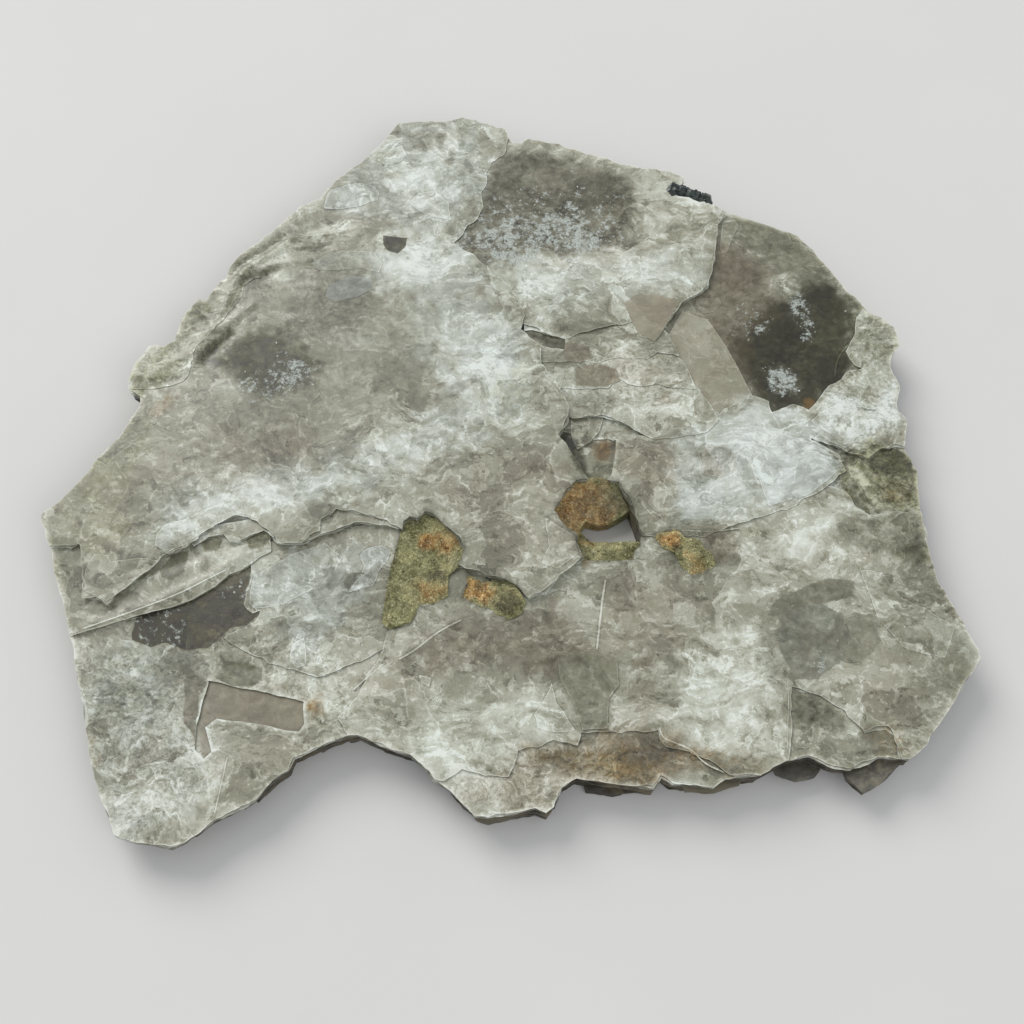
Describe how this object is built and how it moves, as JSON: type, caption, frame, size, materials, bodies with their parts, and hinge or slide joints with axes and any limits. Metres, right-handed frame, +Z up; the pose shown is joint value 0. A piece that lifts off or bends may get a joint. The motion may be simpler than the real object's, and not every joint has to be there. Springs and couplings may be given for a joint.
{
  "type": "muscovite mica specimen",
  "caption": "Flat book of pearly grey muscovite mica sheets with torn edges, a rusty rock-lined hole, small rock patches and a black tourmaline crystal in its far edge.",
  "frame": {"origin": "under the middle of the specimen, on the plane that it rests on", "axes": "+X along the long way of the sheets, +Y towards the edge with the tourmaline crystal, +Z up out of the face"},
  "size_m": [0.1572, 0.1424, 0.0087],
  "materials": {
    "mica": "pearly, semi-gloss",
    "rusty_rock": "rough",
    "tourmaline": "glossy"
  },
  "bodies": {
    "root": {"mica_book": "mica", "rock_hole_lining": "rusty_rock", "rock_patch_left": "rusty_rock", "rock_patch_middle": "rusty_rock", "rock_patch_right": "rusty_rock", "tourmaline_crystal": "tourmaline"}
  },
  "joints": []
}
